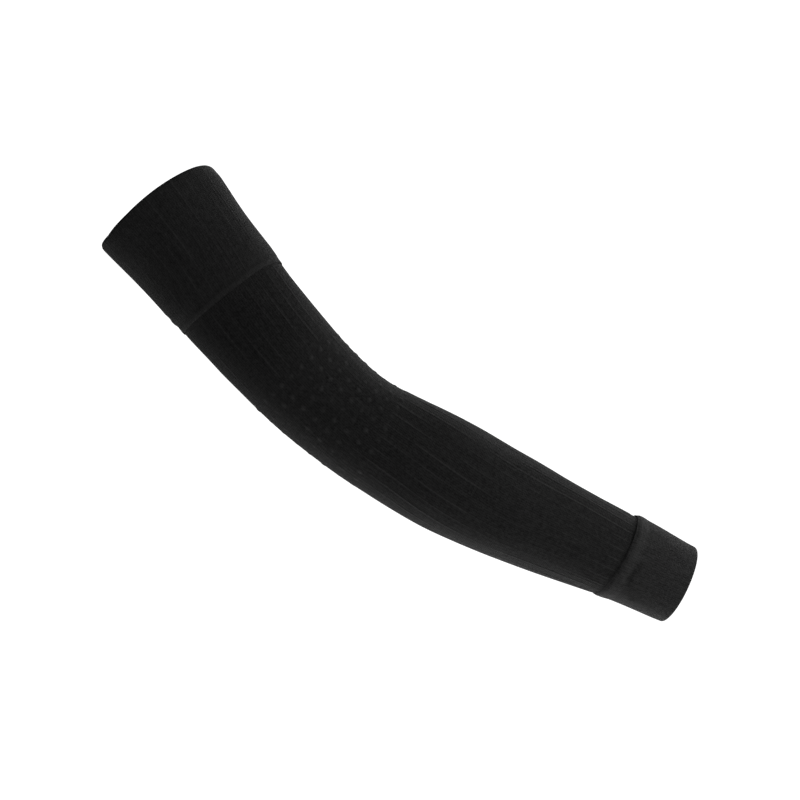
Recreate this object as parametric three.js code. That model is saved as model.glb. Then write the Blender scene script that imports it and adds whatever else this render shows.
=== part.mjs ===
// A knitted arm sleeve, in the form that it has when an arm fills it: a ribbed tube that bends at
// the elbow, a doubled band round the upper arm and a doubled, turned cuff at the wrist.
//
// Millimetres and degrees. The origin is the middle of the upper opening, and +Z points up out of
// it along the upper arm. +X is the front of the arm, towards which the elbow bends. The two sides,
// +Y and -Y, are alike.

import * as THREE from "three";
import { ParametricGeometry } from "three/addons/geometries/ParametricGeometry.js";

// Down the middle of the arm from the upper rim: the whole sleeve, the two seams, and the patch
// round the elbow where raised stitches take the place of the ribs.
const SLEEVE_LENGTH = 430;
const BAND_SEAM = 76;
const CUFF_SEAM = 384.5;
const PATCH_TOP = 138;
const PATCH_END = 208;

// Thickness of the knit. The band and the cuff are two layers each, folded at their rims.
const BODY_WALL = 1.0;
const BAND_WALL = 2.2;
const CUFF_WALL = 2.3;

// The band and the cuff lie over the ends of the body, with a little air between the layers.
const LAP = 6;
const SEAM_GAP = 0.3;

// Lengthwise ribs, which are closer and lower on the band. A rib's foot reaches this share of the
// rib spacing to each side of its crest.
const BODY_RIBS = 26;
const BAND_RIBS = 30;
const RIB_RISE = 0.3;
const RIB_FOOT = 0.16;
const RIB_FADE = 8;
const BAND_RIB_SHARE = 0.5;

// The cuff has no ribs, so its columns are evenly spaced.
const CUFF_COLUMNS = 48;

// Rows of facets from seam to seam on the body, and from rim to seam on the band and the cuff. The
// rows of a doubled wall start this many thicknesses from its fold.
const BODY_OUTER_ROWS = 27;
const BODY_INNER_ROWS = 10;
const BAND_ROWS = 4;
const CUFF_ROWS = 4;
const FOLD_STEPS = 4;
const EDGE_STEPS = 2;
const CLEAR_OF_FOLD = 2;

// The arm inside the sleeve, one row for each section. width is front to back and depth is side to
// side, over the skin. bend is how far the middle line has turned to the front. A course of the
// knit runs lower than its section by slant at the front, as much higher at the back, and lower by
// dip at both sides.
const SECTIONS = [
  { at: "upper rim", along: 0, width: 86.0, depth: 83.4, bend: 0, slant: 0.5, dip: -0.3 },
  { at: "middle of band", along: 40, width: 78.8, depth: 76.6, bend: 0, slant: 1.4, dip: 1 },
  { at: "band seam", along: 78, width: 75.8, depth: 73.7, bend: 0.2, slant: 0.7, dip: 2.4 },
  { at: "above elbow", along: 130, width: 71.0, depth: 69.9, bend: 3.5, slant: 1, dip: 1.5 },
  { at: "elbow", along: 180, width: 66.9, depth: 66.9, bend: 11.5, slant: 0, dip: 0 },
  { at: "below elbow", along: 215, width: 68.9, depth: 67.7, bend: 21, slant: 0, dip: 0 },
  { at: "thick of forearm", along: 260, width: 73.1, depth: 70.4, bend: 22.6, slant: 0, dip: 0 },
  { at: "middle of forearm", along: 300, width: 69.1, depth: 65.2, bend: 24.4, slant: 0.5, dip: 0 },
  { at: "end of forearm", along: 340, width: 61.7, depth: 56.4, bend: 26, slant: 1.5, dip: 0 },
  { at: "cuff seam", along: 386, width: 54.3, depth: 47.4, bend: 26, slant: 1.6, dip: 0.8 },
  { at: "wrist rim", along: 430, width: 49.0, depth: 42.3, bend: 25, slant: 0, dip: 0 },
];
const COLUMNS = ["width", "depth", "bend", "slant", "dip"];

const sections = new THREE.CubicInterpolant(
  SECTIONS.map((row) => row.along),
  SECTIONS.flatMap((row) => COLUMNS.map((column) => row[column])),
  COLUMNS.length,
);

/** The arm's section at a distance down its middle line, with smooth values between the rows. */
function sectionAt(along) {
  const values = sections.evaluate(along);
  const section = Object.fromEntries(COLUMNS.map((column, i) => [column, values[i]]));
  const bend = THREE.MathUtils.degToRad(section.bend);
  section.front = new THREE.Vector3(Math.cos(bend), 0, Math.sin(bend));
  section.down = new THREE.Vector3(Math.sin(bend), 0, -Math.cos(bend));
  return section;
}

// The middle line in short steps, with a margin past both rims for courses that slant.
const STEP = 1;
const MARGIN = 10;
const middleLine = [new THREE.Vector3(0, 0, MARGIN)];
for (let along = -MARGIN; along < SLEEVE_LENGTH + MARGIN; along += STEP) {
  const { down } = sectionAt(along + STEP / 2);
  middleLine.push(middleLine.at(-1).clone().addScaledVector(down, STEP));
}

/** The point on the middle line at a distance down it from the upper rim. */
function middleAt(along) {
  const steps = (along + MARGIN) / STEP;
  const before = Math.floor(steps);
  return middleLine[before].clone().lerp(middleLine[before + 1], steps - before);
}

/** The point on a course, at an angle round the arm from its front and a height off the skin. */
function onArm(course, around, lift) {
  const lean = sectionAt(course);
  const along = course + lean.slant * Math.cos(around) + lean.dip * Math.sin(around) ** 2;
  const { width, depth, front } = sectionAt(along);
  const point = middleAt(along).addScaledVector(front, (width / 2 + lift) * Math.cos(around));
  point.y += (depth / 2 + lift) * Math.sin(around);
  return point;
}

/** Evenly spaced distances, both ends among them. */
function spread(from, to, steps) {
  return Array.from({ length: steps + 1 }, (_, i) => THREE.MathUtils.lerp(from, to, i / steps));
}

/** A half-round edge of a wall from its outside to its inside. way is 1 for an edge that faces the
 *  wrist and -1 for one that faces the shoulder. */
function roundEdge(edge, inside, outside, way, steps) {
  const radius = (outside - inside) / 2;
  return spread(0, Math.PI, steps).map((turn) => ({
    course: edge - way * radius * (1 - Math.sin(turn)),
    lift: inside + radius * (1 + Math.cos(turn)),
  }));
}

/** How far the ribs stand out on the body: not under the laps, nor in the patch at the elbow. */
function bodyRibs(course) {
  const { smoothstep } = THREE.MathUtils;
  const clearOfBand = smoothstep(course, BAND_SEAM, BAND_SEAM + RIB_FADE);
  const clearOfCuff = 1 - smoothstep(course, CUFF_SEAM - RIB_FADE, CUFF_SEAM);
  const inPatch = smoothstep(course, PATCH_TOP - RIB_FADE, PATCH_TOP)
    * (1 - smoothstep(course, PATCH_END, PATCH_END + RIB_FADE));
  return clearOfBand * clearOfCuff * (1 - inPatch);
}

/** Columns of a ribbed wall, as angles: the two feet and the crest of each rib. */
function ribColumns(ribs) {
  const columns = [];
  for (let rib = 0; rib < ribs; rib += 1) {
    for (const side of [-1, 0, 1]) {
      columns.push({
        around: ((rib + side * RIB_FOOT) / ribs) * 2 * Math.PI,
        crest: side === 0 ? RIB_RISE : 0,
      });
    }
  }
  return columns;
}

const cuffColumns = spread(0, 2 * Math.PI, CUFF_COLUMNS)
  .slice(0, -1)
  .map((around) => ({ around, crest: 0 }));

/** A closed wall of knit round the arm. cut is its cut face: up the outside, down the inside. */
function knitWall(cut, columns) {
  const point = (u, v, target) => {
    const { around, crest } = columns[Math.round(u * columns.length) % columns.length];
    const { course, lift, ribs = 0 } = cut[Math.round(v * cut.length) % cut.length];
    target.copy(onArm(course, around, lift + ribs * crest));
  };
  return new ParametricGeometry(point, columns.length, cut.length);
}

const LAP_INSIDE = BODY_WALL + SEAM_GAP;

// The band: its seam edge, the outside up to the fold at the rim, and the inside back to the lap.
const bandTop = BAND_WALL * CLEAR_OF_FOLD;
const bandLap = BAND_SEAM - LAP;
const bandCut = [
  ...roundEdge(BAND_SEAM, LAP_INSIDE, BAND_WALL, 1, EDGE_STEPS).reverse(),
  ...spread(bandLap, bandTop, BAND_ROWS)
    .map((course) => ({ course, lift: BAND_WALL, ribs: BAND_RIB_SHARE })),
  ...roundEdge(0, 0, BAND_WALL, -1, FOLD_STEPS),
  ...spread(bandTop, bandLap, BAND_ROWS).map((course) => ({ course, lift: 0 })),
  { course: bandLap, lift: LAP_INSIDE },
];

// The body: one layer, from under the band to under the cuff.
const cuffLap = CUFF_SEAM + LAP;
const bodyTop = bandLap + SEAM_GAP;
const bodyEnd = cuffLap - SEAM_GAP;
const bodyCut = [
  ...[bodyEnd, ...spread(CUFF_SEAM, BAND_SEAM, BODY_OUTER_ROWS), bodyTop]
    .map((course) => ({ course, lift: BODY_WALL, ribs: bodyRibs(course) })),
  ...[bodyTop, ...spread(BAND_SEAM, CUFF_SEAM, BODY_INNER_ROWS), bodyEnd]
    .map((course) => ({ course, lift: 0 })),
];

// The cuff: the fold at the rim, the outside up to its turned edge, and the inside past the lap.
const cuffEnd = SLEEVE_LENGTH - CUFF_WALL * CLEAR_OF_FOLD;
const cuffCut = [
  ...roundEdge(SLEEVE_LENGTH, 0, CUFF_WALL, 1, FOLD_STEPS).reverse(),
  ...spread(cuffEnd, cuffLap, CUFF_ROWS).map((course) => ({ course, lift: CUFF_WALL })),
  ...roundEdge(CUFF_SEAM, LAP_INSIDE, CUFF_WALL, -1, EDGE_STEPS),
  { course: cuffLap, lift: LAP_INSIDE },
  ...spread(cuffLap, cuffEnd, CUFF_ROWS).map((course) => ({ course, lift: 0 })),
];

/** One piece of the sleeve, in black knit. */
function knitPiece(name, cut, columns, color, roughness) {
  const material = new THREE.MeshStandardMaterial({ color, roughness, metalness: 0 });
  const piece = new THREE.Mesh(knitWall(cut, columns), material);
  piece.name = name;
  return piece;
}

const armSleeve = new THREE.Group();
armSleeve.add(
  knitPiece("upper_band", bandCut, ribColumns(BAND_RIBS), 0x1b1b1d, 0.85),
  knitPiece("sleeve_body", bodyCut, ribColumns(BODY_RIBS), 0x18181a, 0.88),
  knitPiece("wrist_cuff", cuffCut, cuffColumns, 0x232325, 0.8),
);

export default armSleeve;
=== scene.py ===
import bpy
import numpy as np
from mathutils import Matrix, Vector


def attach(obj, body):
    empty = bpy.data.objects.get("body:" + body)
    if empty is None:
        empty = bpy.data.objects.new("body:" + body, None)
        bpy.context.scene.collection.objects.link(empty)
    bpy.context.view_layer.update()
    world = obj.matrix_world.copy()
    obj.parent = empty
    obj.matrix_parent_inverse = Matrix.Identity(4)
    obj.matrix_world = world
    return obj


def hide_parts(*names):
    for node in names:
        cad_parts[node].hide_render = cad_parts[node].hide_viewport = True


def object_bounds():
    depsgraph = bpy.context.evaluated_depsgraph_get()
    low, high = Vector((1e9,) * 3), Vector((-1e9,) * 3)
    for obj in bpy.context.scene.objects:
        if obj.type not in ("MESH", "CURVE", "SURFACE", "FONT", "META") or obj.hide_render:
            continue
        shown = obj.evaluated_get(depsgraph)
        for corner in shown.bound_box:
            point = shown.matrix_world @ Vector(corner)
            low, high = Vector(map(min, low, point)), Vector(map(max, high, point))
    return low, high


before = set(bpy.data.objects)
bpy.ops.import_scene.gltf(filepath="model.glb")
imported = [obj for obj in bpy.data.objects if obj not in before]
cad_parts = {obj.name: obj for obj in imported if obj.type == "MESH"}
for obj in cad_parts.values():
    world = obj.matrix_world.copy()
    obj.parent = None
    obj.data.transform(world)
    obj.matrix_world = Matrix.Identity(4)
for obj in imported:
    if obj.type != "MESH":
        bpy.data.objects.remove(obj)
cad_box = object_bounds()


# The body of the sleeve: one seamless tube of black polyamide and elastane, knitted in the round
# and held in shape by the arm's form. Its wales, the columns of stitches, lie in pairs, and one
# pair in three stands out as a rib. Tuck stitches make rows of dots round the elbow.

# Millimetres: distances down the arm from the upper rim, the thickness of the wall, and how the
# ends of the body lie under the band and the cuff.
MM = 0.001
SLEEVE_LENGTH = 430
BAND_SEAM = 76
CUFF_SEAM = 384.5
BODY_WALL = 1.0
LAP = 6
SEAM_GAP = 0.3
GAP_TAKEN_UP = 0.8
CUFF_LEAN = 0.45
CUFF_LEAN_FADE = 4

# The ribs, the pairs of wales between them, and the mesh points across a pair. The half widths of
# a rib and of the groove beside it, and the groove's place, are counted in points.
BODY_RIBS = 26
PAIRS_PER_RIB = 3
WALES_PER_RIB = 2 * PAIRS_PER_RIB
POINTS_PER_PAIR = 5
POINTS_PER_RIB = PAIRS_PER_RIB * POINTS_PER_PAIR
RIB_HALF_WIDTH = 1.6
GROOVE_HALF_WIDTH = 1.8
GROOVE_PLACE = -2.2
COURSE_HEIGHT = 1.1

# How far each thing stands out of the knit, and how far from a seam or a patch the ribs fade.
RIB_RISE = 0.3
GROOVE = 0.03
PAIR_RISE = 0.12
DOT_RISE = 0.45
BODY_WAVES = 0.22
RIB_FADE = 5

# The ribs are a little fainter above the elbow, almost stop in the patch where the dots are, and
# run more evenly towards the cuff. They are fainter on a panel on one side of the forearm.
PATCH_TOP = 138
PATCH_END = 207
RIBS_ABOVE_PATCH = 0.82
RIBS_IN_PATCH = 0.15
EVEN_TOP = 285
EVEN_FROM = 330
EVEN_RIBS = 0.75
EVEN_STRENGTH = 1.05
PANEL_TOP = 275
PANEL_TOP_FADE = 20
PANEL_END = 378
PANEL_END_FADE = 10
PANEL_ANGLE = -98
PANEL_SPREAD = 46
PANEL_SIDE_FADE = 12
RIBS_ON_PANEL = 0.2

# The dots: the first row's distance down the arm, the rows and the distance between them, the size
# of a dot, and the strength of the faintest one.
FIRST_DOTS = 142
DOT_ROWS = 8
DOT_PITCH = 9.8
DOT_LENGTH = 4.4
DOT_WIDTH = 3.7
FAINTEST_DOT = 0.3

# The arm's form, in millimetres and degrees: the distance down the arm, the width front to back,
# the depth side to side, how far the middle line has bent to the front, how much lower a course
# of stitches runs at the front (slant) and at both sides (dip), and how far the wales have turned
# round the arm as the sleeve was pulled on.
ARM = np.array([
    # along  width depth  bend slant  dip  turn
    (0,      86.0, 83.4,  0.0, 0.5, -0.3,   6.3),  # upper rim
    (40,     78.9, 76.6,  0.0, 1.4,  1.0,   4.6),  # middle of band
    (78,     75.9, 73.7,  0.2, 0.7,  2.4,  -1.5),  # band seam
    (130,    71.7, 69.9,  3.5, 1.0,  1.5,  -6.3),  # above elbow
    (180,    67.2, 66.9, 11.5, 0.0,  0.0, -11.3),  # elbow
    (215,    69.6, 67.7, 21.0, 0.0,  0.0, -17.0),  # below elbow
    (260,    73.3, 70.4, 22.2, 0.0,  0.0, -25.8),  # thick of forearm
    (300,    69.4, 65.2, 24.4, 0.5,  0.0, -31.8),  # middle of forearm
    (340,    62.5, 56.4, 26.3, 1.5,  0.0, -33.2),  # end of forearm
    (386,    54.5, 47.4, 26.0, 1.6,  0.8, -37.5),  # cuff seam
    (430,    49.2, 42.3, 25.0, 0.0,  0.0, -38.0),  # wrist rim
])


def arm_at(along):
    """Width, depth, bend, slant, dip and turn at distances down the arm, smooth between rows."""
    at, values = ARM[:, 0], ARM[:, 1:]
    secants = np.diff(values, axis=0) / np.diff(at)[:, None]
    slopes = np.vstack([secants[:1], (secants[1:] + secants[:-1]) / 2, secants[-1:]])
    place = np.clip(along, at[0], at[-1])
    row = np.clip(np.searchsorted(at, place, side="right") - 1, 0, len(at) - 2)
    span = (at[row + 1] - at[row])[..., None]
    t = (place - at[row])[..., None] / span
    ends = (1 + 2 * t) * (1 - t) ** 2 * values[row] + t * t * (3 - 2 * t) * values[row + 1]
    swing = t * (1 - t) ** 2 * slopes[row] - t * t * (1 - t) * slopes[row + 1]
    return np.moveaxis(ends + swing * span, -1, 0)


def girth_at(along):
    """Girths of the arm in millimetres at distances down it."""
    width, depth, *_ = arm_at(along)
    return np.pi * (width + depth) / 2


def angle_on_arm(course, around):
    """Angles from the front of the arm, -180 to 180 degrees, once the wales have turned."""
    *_, turn = arm_at(course)
    return (np.degrees(around) + turn + 180) % 360 - 180


# The middle line of the arm in steps of 1 mm, from a little above the upper rim.
MARGIN = 10
marks = np.arange(-MARGIN, SLEEVE_LENGTH + MARGIN + 1.0)
_, _, bend_at_marks, *_ = arm_at(marks[:-1] + 0.5)
middle_x = np.append(0, np.cumsum(np.sin(np.radians(bend_at_marks))))
middle_z = MARGIN - np.append(0, np.cumsum(np.cos(np.radians(bend_at_marks))))


def on_arm(course, around, lift):
    """Points on courses of stitches, at angles round the arm from its front and heights off it."""
    course, around, lift = np.broadcast_arrays(course, around, lift)
    _, _, _, slant, dip, turn = arm_at(course)
    angle = around + np.radians(turn)
    along = course + slant * np.cos(angle) + dip * np.sin(angle) ** 2
    width, depth, bend, *_ = arm_at(along)
    forward = (width / 2 + lift) * np.cos(angle)
    x = np.interp(along, marks, middle_x) + forward * np.cos(np.radians(bend))
    y = (depth / 2 + lift) * np.sin(angle)
    z = np.interp(along, marks, middle_z) + forward * np.sin(np.radians(bend))
    return np.stack([x, y, z], -1) * MM


def smoothstep(values, start, end):
    """0 up to start, 1 from end on, and a smooth rise between them."""
    share = np.clip((values - start) / (end - start), 0, 1)
    return share * share * (3 - 2 * share)


def stretch(values, start, end, rise, fall):
    """1 between start and end, rising smoothly after the one and falling before the other."""
    return smoothstep(values, start, start + rise) * (1 - smoothstep(values, end - fall, end))


def unevenness(course, around, seed):
    """Slow, shallow waves over the knit, about 1 high, the same on each run."""
    random = np.random.default_rng(seed)
    waves = 14
    total = 0
    for _ in range(waves):
        length = random.uniform(45, 150)
        turns = random.integers(-5, 6)
        phase = random.uniform(0, 6.3)
        total = total + np.sin(2 * np.pi * course / length + turns * around + phase)
    return total / waves ** 0.5


def crest(column, place, half_width):
    """1 along one line in each rib spacing, and 0 from half_width points beside it."""
    away = np.abs((column - place + POINTS_PER_RIB / 2) % POINTS_PER_RIB - POINTS_PER_RIB / 2)
    return np.clip(1 - away / half_width, 0, 1)


def rib_tension(course, ribs, seed):
    """Strengths along each rib, which comes and goes where its yarn was drawn in tighter."""
    random = np.random.default_rng(seed)
    spacing = 20.0
    knots = np.arange(course.min() - spacing, course.max() + spacing, spacing)
    drawn = np.maximum(random.uniform(-0.2, 1.15, (ribs, len(knots))), 0)
    strength = np.stack([np.interp(course.ravel(), knots, row) for row in drawn], -1)
    return np.roll(np.repeat(strength, POINTS_PER_RIB, axis=1), -(POINTS_PER_RIB // 2), axis=1)


def wale_pairs(course, column, ribs, seed):
    """Heights of the pairs of wales, as shares, with a tension of their own."""
    across = 0.5 + 0.5 * np.cos(2 * np.pi * column / POINTS_PER_PAIR)
    return rib_tension(course, ribs, seed) * across


def knit_wall(name, cut, around, wales, relief, painted_light, shift=0):
    """A closed wall of knit round the arm. Each row of cut is a course and its height off the arm,
    up the outside and down the inside. relief stands on it, and shift moves it down the arm. The
    Knit map counts wales across and courses along, the OFBake map is one rectangle, and the painted
    light array goes onto the points: painted highlight above 0 and painted shade below it."""
    rows, columns = relief.shape
    points = on_arm(cut[:, :1] + shift, around, cut[:, 1:] + relief)
    row, column = np.meshgrid(np.arange(rows), np.arange(columns), indexing="ij")
    corner_rows = np.stack([row, row, row + 1, row + 1], -1)
    corner_columns = np.stack([column, column + 1, column + 1, column], -1)
    faces = (corner_rows % rows) * columns + corner_columns % columns
    mesh = bpy.data.meshes.new(name)
    mesh.from_pydata(points.reshape(-1, 3), [], faces.reshape(-1, 4).tolist())
    steps = np.hypot(*np.diff(np.vstack([cut, cut[:1]]), axis=0).T)
    travel = np.append(0, np.cumsum(steps))
    knit = np.stack([corner_columns * wales / columns, travel[corner_rows] / COURSE_HEIGHT], -1)
    bake = np.stack([corner_columns / columns, travel[corner_rows] / travel[-1]], -1)
    for map_name, places in (("Knit", knit), ("OFBake", bake)):
        layer = mesh.uv_layers.new(name=map_name)
        layer.uv.foreach_set("vector", places.astype(np.float32).ravel())
    # Painted highlight and painted shade, kept on the points for the material.
    painted_light_layer = mesh.attributes.new("painted_light", "FLOAT", "POINT")
    painted_light_layer.data.foreach_set("value", painted_light.astype(np.float32).ravel())
    mesh.shade_smooth()
    piece = bpy.data.objects.new(name, mesh)
    bpy.context.scene.collection.objects.link(piece)
    return piece


# Courses of the outside are closest in the patch, where the dots are, and beside the cuff.
body_top = BAND_SEAM - LAP + SEAM_GAP
body_end = CUFF_SEAM + LAP - SEAM_GAP
beside_cuff = CUFF_SEAM - 8
below_patch = PATCH_END + 7
body_outside = np.concatenate([
    np.linspace(body_end, beside_cuff, 16, endpoint=False),
    np.linspace(beside_cuff, below_patch, 64, endpoint=False),
    np.linspace(below_patch, PATCH_TOP, 100, endpoint=False),
    np.linspace(PATCH_TOP, body_top, 28),
])
body_inside = np.linspace(body_top, body_end, 36)
body_cut = np.concatenate([
    np.stack([body_outside, np.full(len(body_outside), BODY_WALL)], -1),
    np.stack([body_inside, np.zeros(len(body_inside))], -1),
])
body_columns = BODY_RIBS * POINTS_PER_RIB
body_around = np.arange(body_columns) / body_columns * 2 * np.pi
course = body_outside[:, None]
column = np.arange(body_columns)[None]
angle = angle_on_arm(course, body_around)

# Between the seams the wales stand up, and each rib has a groove beside it.
clear = stretch(course, BAND_SEAM, CUFF_SEAM, RIB_FADE, RIB_FADE)
in_patch = stretch(course, PATCH_TOP - RIB_FADE, PATCH_END + RIB_FADE, RIB_FADE, RIB_FADE)
off_panel = np.abs(angle - PANEL_ANGLE)
on_panel = stretch(course, PANEL_TOP, PANEL_END, PANEL_TOP_FADE, PANEL_END_FADE)
on_panel = on_panel * (1 - smoothstep(off_panel, PANEL_SPREAD - PANEL_SIDE_FADE, PANEL_SPREAD))
evenness = EVEN_RIBS * smoothstep(course, EVEN_TOP, EVEN_FROM)
rib_strength = rib_tension(course, BODY_RIBS, seed=63) * (1 - evenness) + EVEN_STRENGTH * evenness
rib_strength = rib_strength * (1 - (1 - RIBS_IN_PATCH) * in_patch)
rib_strength = rib_strength * (1 - (1 - RIBS_ON_PANEL) * on_panel)
rib_strength = rib_strength * np.where(course < PATCH_TOP, RIBS_ABOVE_PATCH, 1)
ribs = rib_strength * crest(column, 0, RIB_HALF_WIDTH)
grooves = rib_strength * crest(column, GROOVE_PLACE, GROOVE_HALF_WIDTH)
pairs = wale_pairs(course, column, BODY_RIBS, seed=5)

# The dots stand on the pair of wales beside each rib.
dot_row = np.clip(np.round((course - FIRST_DOTS) / DOT_PITCH), 0, DOT_ROWS - 1)
off_row = (course - FIRST_DOTS - dot_row * DOT_PITCH) / (DOT_LENGTH / 2)
dot_column = column + POINTS_PER_PAIR + POINTS_PER_RIB // 2
from_dot = dot_column % POINTS_PER_RIB - POINTS_PER_RIB // 2
dot_rib = dot_column // POINTS_PER_RIB % BODY_RIBS
off_column = from_dot * girth_at(course) / body_columns / (DOT_WIDTH / 2)
dot_strength = np.random.default_rng(9).uniform(FAINTEST_DOT, 1.0, (DOT_ROWS, BODY_RIBS))
dots = np.clip(1 - off_row ** 2 - off_column ** 2, 0, 1)
dots = dots * dot_strength[dot_row.astype(int), dot_rib]

# The ends of the body are lifted against the band and the cuff, and lean to the front with the
# cuff.
body_relief = np.zeros((len(body_cut), body_columns))
body_relief[:len(body_outside)] = clear * (
    RIB_RISE * ribs - GROOVE * grooves + PAIR_RISE * pairs + DOT_RISE * dots
    + BODY_WAVES * unevenness(course, body_around, seed=7))
cut_course = body_cut[:, :1]
under_band = 1 - smoothstep(cut_course, BAND_SEAM, BAND_SEAM + 5)
under_cuff = smoothstep(cut_course, CUFF_SEAM - 3, CUFF_SEAM)
body_relief += SEAM_GAP * GAP_TAKEN_UP * (under_band + under_cuff)
leaning = smoothstep(cut_course, CUFF_SEAM - CUFF_LEAN_FADE, CUFF_SEAM + LAP)
body_relief += CUFF_LEAN * leaning * np.cos(np.radians(angle_on_arm(cut_course, body_around)))

# Painted highlights make the ribs and dots paler. Painted shade darkens the grooves, the knit above
# the elbow below the band, and a line along the cuff's edge, most at the back.
DOT_PAINTED_HIGHLIGHT = 1.15
GROOVE_PAINTED_SHADE = 0.1
UPPER_ARM_PAINTED_SHADE = 0.18
UPPER_ARM_FADE = 25
CUFF_LINE_PAINTED_SHADE = 0.25
CUFF_LINE_SWING = 0.2
above_elbow = 1 - smoothstep(course, PATCH_TOP - UPPER_ARM_FADE, PATCH_TOP)
along_cuff = smoothstep(course, CUFF_SEAM - 4, CUFF_SEAM - 2)
# Painted shade beside the cuff's turned edge, where it laps over the body.
cuff_painted_shade = (CUFF_LINE_PAINTED_SHADE - CUFF_LINE_SWING * np.cos(np.radians(angle))) * along_cuff
body_painted_light = np.zeros_like(body_relief)
body_painted_light[:len(body_outside)] = (
    clear * (np.maximum(ribs, DOT_PAINTED_HIGHLIGHT * dots) - GROOVE_PAINTED_SHADE * grooves)
    - cuff_painted_shade - UPPER_ARM_PAINTED_SHADE * above_elbow)

sleeve_body = knit_wall("sleeve_body_knit", body_cut, body_around, BODY_RIBS * WALES_PER_RIB,
                        body_relief, body_painted_light)


def linear(colour):
    """An sRGB hex colour in Blender's linear values."""
    shares = np.array([int(colour[i:i + 2], 16) for i in (1, 3, 5)]) / 255
    values = np.where(shares <= 0.04045, shares / 12.92, ((shares + 0.055) / 1.055) ** 2.4)
    return (*values.tolist(), 1)


def add(owner, kind, inputs=None, **settings):
    """Adds a node to a material or a world. An input is a value or another node's output."""
    node = owner.node_tree.nodes.new(kind)
    for name, value in settings.items():
        setattr(node, name, value)
    for name, value in (inputs or {}).items():
        if isinstance(value, bpy.types.NodeSocket):
            owner.node_tree.links.new(value, node.inputs[name])
        else:
            node.inputs[name].default_value = value
    return node


def stitch_height(material, slope):
    """Outputs for the height of plain stitches, where each wale is two legs of yarn that lean
    apart, for how far a place lies from the middle of its wale, for a number that each leg has to
    itself, and for the map's own places."""
    places = add(material, "ShaderNodeUVMap", uv_map="Knit").outputs["UV"]
    split = add(material, "ShaderNodeSeparateXYZ", {0: places})
    wale, course_number = split.outputs["X"], split.outputs["Y"]
    across = add(material, "ShaderNodeMath", {0: wale, 1: 0.5}, operation="PINGPONG").outputs[0]
    off_leg = add(material, "ShaderNodeMath", {0: across, 1: 0.25}, operation="SUBTRACT")
    off_leg = add(material, "ShaderNodeMath", {0: off_leg.outputs[0], 1: 4.0}, operation="MULTIPLY")
    off_leg = add(material, "ShaderNodeMath", {0: off_leg.outputs[0], 1: 2.0}, operation="POWER")
    leg = add(material, "ShaderNodeMath", {0: 1.0, 1: off_leg.outputs[0]}, operation="SUBTRACT")
    lean = add(material, "ShaderNodeMath", {0: across, 1: slope, 2: course_number},
               operation="MULTIPLY_ADD").outputs[0]
    turn = add(material, "ShaderNodeMath", {0: lean, 1: 2 * np.pi}, operation="MULTIPLY")
    wave = add(material, "ShaderNodeMath", {0: turn.outputs[0]}, operation="COSINE")
    loop = add(material, "ShaderNodeMath", {0: wave.outputs[0], 1: 0.3, 2: 0.7},
               operation="MULTIPLY_ADD")
    height = add(material, "ShaderNodeMath", {0: leg.outputs[0], 1: loop.outputs[0]},
                 operation="MULTIPLY").outputs[0]
    side = add(material, "ShaderNodeMath", {0: wale, 1: 2.0}, operation="MULTIPLY")
    legs = add(material, "ShaderNodeCombineXYZ", {"X": side.outputs[0], "Y": lean})
    number = add(material, "ShaderNodeVectorMath", {0: legs.outputs[0]}, operation="FLOOR")
    return height, across, number.outputs["Vector"], places


# Rib knit of black polyamide, dyed in the yarn: dull, with painted highlights along the ribs and
# on the tuck stitches, painted shade between the wales and between the legs of the stitches, and
# grey where it is seen edge on. A stitch here is about 1.4 mm wide and 1.1 mm high, coarser than a
# real one, which is too fine to show. Soft patches are about 2.5 stitches across, and streaks in
# the yarn 1.4 stitches wide and 24 long.
def rib_knit(name, dark, pale, painted_light_share, grain):
    material = bpy.data.materials.new(name)
    material.use_nodes = True
    surface = material.node_tree.nodes["Principled BSDF"]
    height, across, leg_number, places = stitch_height(material, slope=1.2)
    painted_light = add(material, "ShaderNodeAttribute", attribute_name="painted_light").outputs["Fac"]

    yarn = add(material, "ShaderNodeTexWhiteNoise", {"Vector": leg_number}, noise_dimensions="2D")
    patches = add(material, "ShaderNodeTexNoise", {"Vector": places, "Scale": 0.4, "Detail": 3.0},
                  noise_dimensions="2D")
    drawn_out = add(material, "ShaderNodeVectorMath", {0: places, 1: (1.0, 0.06, 1.0)},
                    operation="MULTIPLY").outputs["Vector"]
    streaks = add(material, "ShaderNodeTexNoise", {"Vector": drawn_out, "Scale": 0.7, "Detail": 3.0},
                  noise_dimensions="2D")
    shade = add(material, "ShaderNodeMath", {0: yarn.outputs["Value"], 1: 0.34, 2: -grain / 2},
                operation="MULTIPLY_ADD")
    # Random tone from the yarn, the patches and the streaks; painted shade between the legs and between
    # the wales; and the piece's own painted highlights and painted shade.
    for part, share in (
        (patches.outputs["Fac"], grain),
        (streaks.outputs["Fac"], 0.35),
        (height, 0.4),
        (across, -0.5),
        (painted_light, painted_light_share),
    ):
        shade = add(material, "ShaderNodeMath", {0: part, 1: share, 2: shade.outputs[0]},
                    operation="MULTIPLY_ADD")
    shade.use_clamp = True
    colour = add(material, "ShaderNodeMix",
                 {"Factor": shade.outputs[0], 6: linear(dark), 7: linear(pale)}, data_type="RGBA")
    bump = add(material, "ShaderNodeBump", {"Height": height, "Distance": 0.25 * MM, "Strength": 0.7})
    material.node_tree.links.new(colour.outputs[2], surface.inputs["Base Color"])
    material.node_tree.links.new(bump.outputs["Normal"], surface.inputs["Normal"])
    surface.inputs["Roughness"].default_value = 0.85
    surface.inputs["Specular IOR Level"].default_value = 0.1
    surface.inputs["Sheen Weight"].default_value = 0.08
    surface.inputs["Sheen Roughness"].default_value = 0.3
    surface.inputs["Sheen Tint"].default_value = linear("#c8c8c8")
    return material


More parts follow.
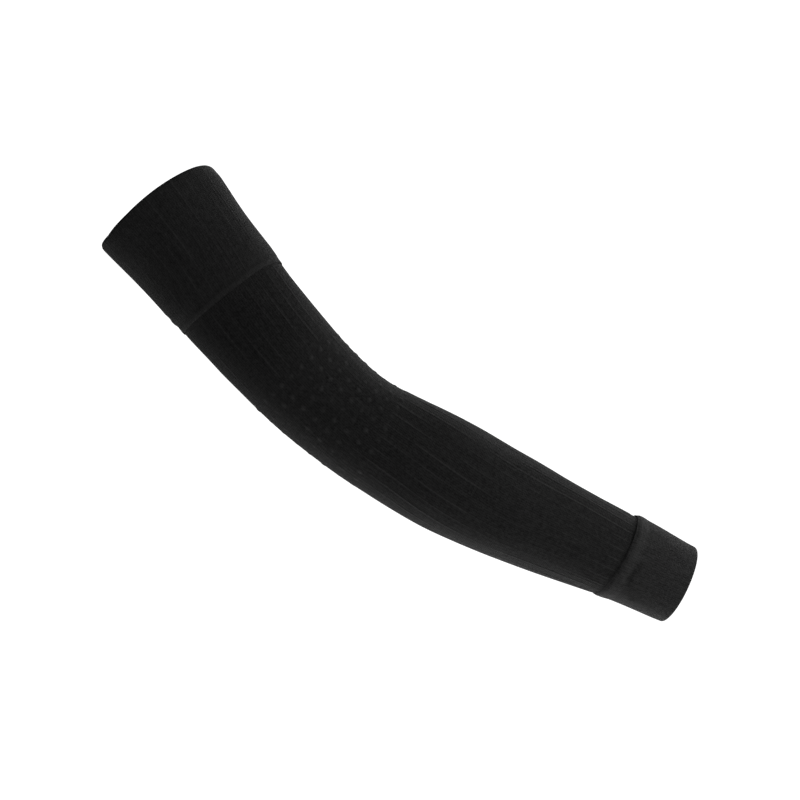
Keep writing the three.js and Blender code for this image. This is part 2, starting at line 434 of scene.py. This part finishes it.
sleeve_body.data.materials.append(
    rib_knit("black_polyamide_rib_knit", "#0c0c0c", "#303030", painted_light_share=0.5, grain=0.34))
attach(sleeve_body, "root")
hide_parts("sleeve_body")


# The band round the upper arm: a wide double hem of the same rib knit, folded at the rim and
# linked to the body with a soft seam that stands up a little and carries a painted highlight. Its
# ribs are closer together than the body's, and its rim comes to a point at the back, as if it had
# been pressed flat there.

BAND_RIBS = 30
BAND_RIB_SHARE = 0.7
BAND_WALL = 2.2
BAND_WAVES = 0.2
LAP_INSIDE = BODY_WALL + SEAM_GAP

# The seam rolls up along its width, less at the front, and lies on the knit's mean height. A
# painted highlight follows the roll.
SEAM_WIDTH = 3.8
SEAM_RISE = 0.22
SEAM_AT_FRONT = 0.3
SEAM_PAINTED_HIGHLIGHT = 0.5
SEAM_FADE = 2.5
MEAN_RELIEF = 0.1

# How much lower the rim and the seam run than their courses, in millimetres, and the share of the
# band's thickness that is left at the seam, by the angle from the front of the arm to its back.
BAND_LINES = np.array([
    # angle  rim  seam  edge
    (0,      0.4,  3.0, 0.35),
    (20,     0.2,  2.0, 0.35),
    (45,     0.2,  0.3, 0.3),
    (80,     0.3,  0.0, 0.3),
    (110,    0.7,  0.0, 0.3),
    (140,    0.1,  0.0, 0.3),
    (160,   -2.0,  0.0, 0.3),
    (180,   -3.2,  0.0, 0.3),
])

# The rim is rounded in at the front, and small ripples stand above the seam at the back.
RIM_ROUNDING = 0.8
ROUNDED_LENGTH = 9
RIPPLE_PITCH = 8.7
RIPPLE_RISE = 0.3


def folded_edge(edge, inside, outside, way, steps):
    """Courses and heights of a half-round edge from its outside to its inside. way is 1 where the
    edge faces the wrist and -1 where it faces the shoulder."""
    radius = (outside - inside) / 2
    turn = np.linspace(0, np.pi, steps)
    courses = edge - way * radius * (1 - np.sin(turn))
    return np.stack([courses, inside + radius * (1 + np.cos(turn))], -1)


def wall_side(start, end, lift, step):
    """Courses from one distance to another, at one height off the arm."""
    courses = np.linspace(start, end, max(2, round(abs(end - start) / step)))
    return np.stack([courses, np.full(len(courses), lift)], -1)


# The outside has its closest courses on the seam.
CLEAR_OF_FOLD = 2.5
band_lap = BAND_SEAM - LAP
band_cut = np.concatenate([
    folded_edge(BAND_SEAM, LAP_INSIDE, BAND_WALL, 1, 7)[::-1],
    wall_side(BAND_SEAM - 0.8, BAND_SEAM - 8, BAND_WALL, 0.5),
    wall_side(BAND_SEAM - 9, CLEAR_OF_FOLD, BAND_WALL, 1.5),
    folded_edge(0, 0, BAND_WALL, -1, 9),
    wall_side(CLEAR_OF_FOLD, band_lap, 0, 3),
    [(band_lap, LAP_INSIDE)],
])
band_columns = BAND_RIBS * POINTS_PER_RIB
band_around = np.arange(band_columns) / band_columns * 2 * np.pi
course, lift = band_cut[:, :1], band_cut[:, 1:]
column = np.arange(band_columns)[None]
from_front = np.abs(angle_on_arm(course, band_around))
rim_drop, seam_drop, edge_share = (
    np.interp(from_front, BAND_LINES[:, 0], values) for values in BAND_LINES[:, 1:].T)
near_rim = 1 - smoothstep(course, 0, 25)
near_seam = smoothstep(course, BAND_SEAM - 14, BAND_SEAM - 1)
band_shift = rim_drop * near_rim + seam_drop * near_seam

outer_face = lift == BAND_WALL
seam_top = BAND_SEAM - SEAM_WIDTH
off_seam = 1 - smoothstep(course, seam_top - SEAM_FADE, seam_top)
band_tension = BAND_RIB_SHARE * rib_tension(course, BAND_RIBS, seed=11)
band_ribs = band_tension * crest(column, 0, RIB_HALF_WIDTH)
band_grooves = band_tension * crest(column, GROOVE_PLACE, GROOVE_HALF_WIDTH)
band_pairs = wale_pairs(course, column, BAND_RIBS, seed=13)
seam_roll = np.sin(np.pi * np.clip((course - seam_top) / SEAM_WIDTH, 0, 1))
seam_roll = seam_roll * (SEAM_AT_FRONT + (1 - SEAM_AT_FRONT) * smoothstep(from_front, 20, 55))
ripples = np.cos(2 * np.pi * (course - BAND_SEAM + SEAM_WIDTH / 2) / RIPPLE_PITCH)
ripples = ripples * smoothstep(course, BAND_SEAM - 26, BAND_SEAM - 12)
ripples = ripples * smoothstep(from_front, 130, 165)
rounding = (1 - smoothstep(course, 0, ROUNDED_LENGTH)) * (1 - smoothstep(from_front, 5, 40))
band_relief = outer_face * (
    off_seam * (RIB_RISE * band_ribs - GROOVE * band_grooves + PAIR_RISE * band_pairs
                + RIPPLE_RISE * ripples + BAND_WAVES * unevenness(course, band_around, seed=12))
    + (1 - off_seam) * MEAN_RELIEF + SEAM_RISE * seam_roll)
band_relief = band_relief - (1 - edge_share) * near_seam * np.maximum(lift - LAP_INSIDE, 0)
band_relief = band_relief - RIM_ROUNDING * rounding
# Painted highlights make the ribs and the seam's roll paler, and painted shade darkens the grooves.
band_painted_light = outer_face * (
    off_seam * (band_ribs - GROOVE_PAINTED_SHADE * band_grooves) + SEAM_PAINTED_HIGHLIGHT * seam_roll)

upper_band = knit_wall("upper_band_knit", band_cut, band_around, BAND_RIBS * WALES_PER_RIB,
                       band_relief, band_painted_light, band_shift)

# The same rib knit, doubled, which looks a little paler than one layer.
upper_band.data.materials.append(
    rib_knit("black_polyamide_rib_knit_doubled", "#101010", "#313131", painted_light_share=0.5, grain=0.34))
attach(upper_band, "root")
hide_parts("upper_band")


# The cuff at the wrist: a double hem of fine plain knit, smoother and a little greyer than the
# body. Its turned edge laps over the end of the body, and a soft dark line of painted shade runs
# beside it.

CUFF_WALL = 2.3
CUFF_WALES = 120
POINTS_PER_CUFF_WALE = 3
CUFF_WAVES = 0.2
HEM_RISE = 0.4
WRIST_RIM_DROP = 0.5

# The share of the cuff's thickness that is left at its edge, what the back adds to it, and how much
# lower the edge runs at the front and higher all round. The outer layer leans a little more than
# the inner one.
EDGE_SHARE = 0.35
EDGE_AT_BACK = 0.7
EDGE_SLANT = 0.8
EDGE_LIFT = 0.6
OUTER_LEAN = 0.35

cuff_lap = CUFF_SEAM + LAP
cuff_end = SLEEVE_LENGTH - CLEAR_OF_FOLD
cuff_cut = np.concatenate([
    folded_edge(SLEEVE_LENGTH, 0, CUFF_WALL, 1, 9)[::-1],
    wall_side(cuff_end, CUFF_SEAM + 1, CUFF_WALL, 0.6),
    folded_edge(CUFF_SEAM, LAP_INSIDE, CUFF_WALL, -1, 7),
    [(cuff_lap, LAP_INSIDE)],
    wall_side(cuff_lap, cuff_end, 0, 3),
])
cuff_columns = CUFF_WALES * POINTS_PER_CUFF_WALE
cuff_around = np.arange(cuff_columns) / cuff_columns * 2 * np.pi
course, lift = cuff_cut[:, :1], cuff_cut[:, 1:]
from_front = np.abs(angle_on_arm(course, cuff_around))
outer_face = (lift == CUFF_WALL) * (1 - smoothstep(course, SLEEVE_LENGTH - 7, cuff_end))
hem = stretch(course, CUFF_SEAM, CUFF_SEAM + 10, 2.5, 5)

# A soft crease runs from the side of the cuff towards its back, as distances down the arm and
# angles from the front.
CREASE = np.array([(394, -90), (393, -105), (395, -117), (398, -126), (402.5, -135)])
CREASE_MIDDLE = 400
CREASE_DEPTH = 0.5
CREASE_WIDTH = 2.2
steps = np.linspace(0, len(CREASE) - 1, 50)
crease_courses, crease_angles = (
    np.interp(steps, np.arange(len(CREASE)), values) for values in CREASE.T)
angle = angle_on_arm(CREASE_MIDDLE, cuff_around)
half_width, *_ = arm_at(CREASE_MIDDLE) / 2
off_crease = np.full((len(cuff_cut), cuff_columns), np.inf)
for crease_course, crease_angle in zip(crease_courses, crease_angles):
    sideways = np.radians(angle - crease_angle) * half_width
    off_crease = np.minimum(off_crease, np.hypot(course - crease_course, sideways))
crease = np.exp(-(off_crease / CREASE_WIDTH) ** 2)

near_edge = 1 - smoothstep(course, CUFF_SEAM, CUFF_SEAM + 3.5)
towards_front = np.cos(np.radians(from_front)) * (1 - smoothstep(course, cuff_lap, SLEEVE_LENGTH))
edge_share = EDGE_SHARE + EDGE_AT_BACK * smoothstep(from_front, 130, 165)
outside_lap = lift > LAP_INSIDE
cuff_relief = outer_face * (
    HEM_RISE * hem - CREASE_DEPTH * crease + CUFF_WAVES * unevenness(course, cuff_around, seed=21))
cuff_relief = cuff_relief - (1 - edge_share) * near_edge * np.maximum(lift - LAP_INSIDE, 0)
cuff_relief = cuff_relief + towards_front * (CUFF_LEAN + OUTER_LEAN * outside_lap)
below_edge = smoothstep(course, CUFF_SEAM, CUFF_SEAM + 15)
edge_shift = (EDGE_SLANT * towards_front - EDGE_LIFT) * (1 - below_edge)
rim_shift = WRIST_RIM_DROP * smoothstep(course, SLEEVE_LENGTH - 15, SLEEVE_LENGTH)
cuff_shift = edge_shift + rim_shift

# A painted highlight makes the turned hem paler, most at the front, and painted shade darkens the
# crease and the very edge.
HEM_PAINTED_HIGHLIGHT = 0.6
HEM_FADE = 0.7
CREASE_PAINTED_SHADE = 0.6
EDGE_PAINTED_SHADE = 0.15
hem_painted_highlight = HEM_PAINTED_HIGHLIGHT * hem * (1 - HEM_FADE * smoothstep(from_front, 70, 130))
very_edge = (course < CUFF_SEAM + 0.6) * outside_lap
cuff_painted_light = outer_face * (hem_painted_highlight - CREASE_PAINTED_SHADE * crease) - EDGE_PAINTED_SHADE * very_edge

wrist_cuff = knit_wall("wrist_cuff_knit", cuff_cut, cuff_around, CUFF_WALES,
                       cuff_relief, cuff_painted_light, cuff_shift)

# Plain knit of the same yarn: smoother and a little greyer than the rib knit, with less grain.
wrist_cuff.data.materials.append(
    rib_knit("black_polyamide_plain_knit", "#141414", "#383838", painted_light_share=0.3, grain=0.22))
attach(wrist_cuff, "root")
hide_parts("wrist_cuff")


# The studio: a white floor well below the sleeve, a white room that lights it softly from all
# sides, and large soft lights behind its edges, under the elbow and on both sides of the wrist.

FLOOR_DROP = 1.0
FLOOR_SIDE = 6
WHITE = 1.2
ROOM_LIGHT = 0.25
floor_z = cad_box[0].z - FLOOR_DROP
half = FLOOR_SIDE / 2
floor_outline = ((-half, -half), (half, -half), (half, half), (-half, half))
floor_corners = [(x, y, floor_z) for x, y in floor_outline]
floor_mesh = bpy.data.meshes.new("floor")
floor_mesh.from_pydata(floor_corners, [], [(0, 1, 2, 3)])
floor = bpy.data.objects.new("floor", floor_mesh)
bpy.context.scene.collection.objects.link(floor)

# White paint, lit so brightly that it leaves no shade of its own.
floor_paint = bpy.data.materials.new("white_floor_paint")
floor_paint.use_nodes = True
floor_surface = floor_paint.node_tree.nodes["Principled BSDF"]
floor_surface.inputs["Base Color"].default_value = linear("#f4f4f4")
floor_surface.inputs["Emission Color"].default_value = linear("#ffffff")
floor_surface.inputs["Emission Strength"].default_value = WHITE
floor.data.materials.append(floor_paint)
floor.visible_diffuse = False
floor.visible_glossy = False

world = bpy.data.worlds.new("white_room")
bpy.context.scene.world = world
world.use_nodes = True
room = world.node_tree.nodes["Background"]
room.inputs["Color"].default_value = linear("#ffffff")
rays = add(world, "ShaderNodeLightPath")
strength = add(world, "ShaderNodeMapRange", {0: rays.outputs["Is Camera Ray"], 3: ROOM_LIGHT, 4: WHITE})
world.node_tree.links.new(strength.outputs[0], room.inputs["Strength"])

# The camera looks along +Y at the side of the sleeve, rolled so that the arm runs down to the
# right.
TARGET = Vector((0.04236, 0, -0.19831))
CAMERA_DISTANCE = 0.7333
CAMERA_RIGHT = Vector((0.7718, 0, -0.6358))
CAMERA_UP = Vector((0.6358, 0, 0.7718))
TOWARDS_CAMERA = Vector((0, -1, 0))
camera = bpy.data.objects.new("camera", bpy.data.cameras.new("camera"))
camera.data.lens = 50
camera.data.sensor_width = 36
roll = Matrix((CAMERA_RIGHT, CAMERA_UP, TOWARDS_CAMERA)).transposed().to_4x4()
camera.matrix_world = Matrix.Translation(TARGET + TOWARDS_CAMERA * CAMERA_DISTANCE) @ roll
bpy.context.scene.collection.objects.link(camera)
bpy.context.scene.camera = camera

# Soft lights: where each stands, in metres to the picture's right, up and nearer to the camera
# than the middle of the sleeve, its side in metres and its power in watts.
for name, right, up, nearer, side, power in (
    ("light_behind_upper_edge", -0.1, 0.8, -0.9, 0.8, 7.0),
    ("light_under_elbow", -0.2, -0.4, -0.15, 0.4, 0.8),
    ("light_behind_forearm", 0.2, -0.9, -0.45, 0.8, 8.1),
    ("light_behind_wrist", 0.7, 0.1, -0.3, 0.6, 3.2),
    ("light_before_wrist", 0.55, -0.12, 0.4, 0.5, 2.6),
):
    lamp = bpy.data.objects.new(name, bpy.data.lights.new(name, "AREA"))
    lamp.data.size = side
    lamp.data.energy = power
    place = CAMERA_RIGHT * right + CAMERA_UP * up + TOWARDS_CAMERA * nearer
    lamp.location = TARGET + place
    lamp.rotation_mode = "QUATERNION"
    lamp.rotation_quaternion = place.to_track_quat("Z", "Y")
    lamp.visible_camera = False
    bpy.context.scene.collection.objects.link(lamp)

bpy.context.scene.view_settings.view_transform = "Standard"
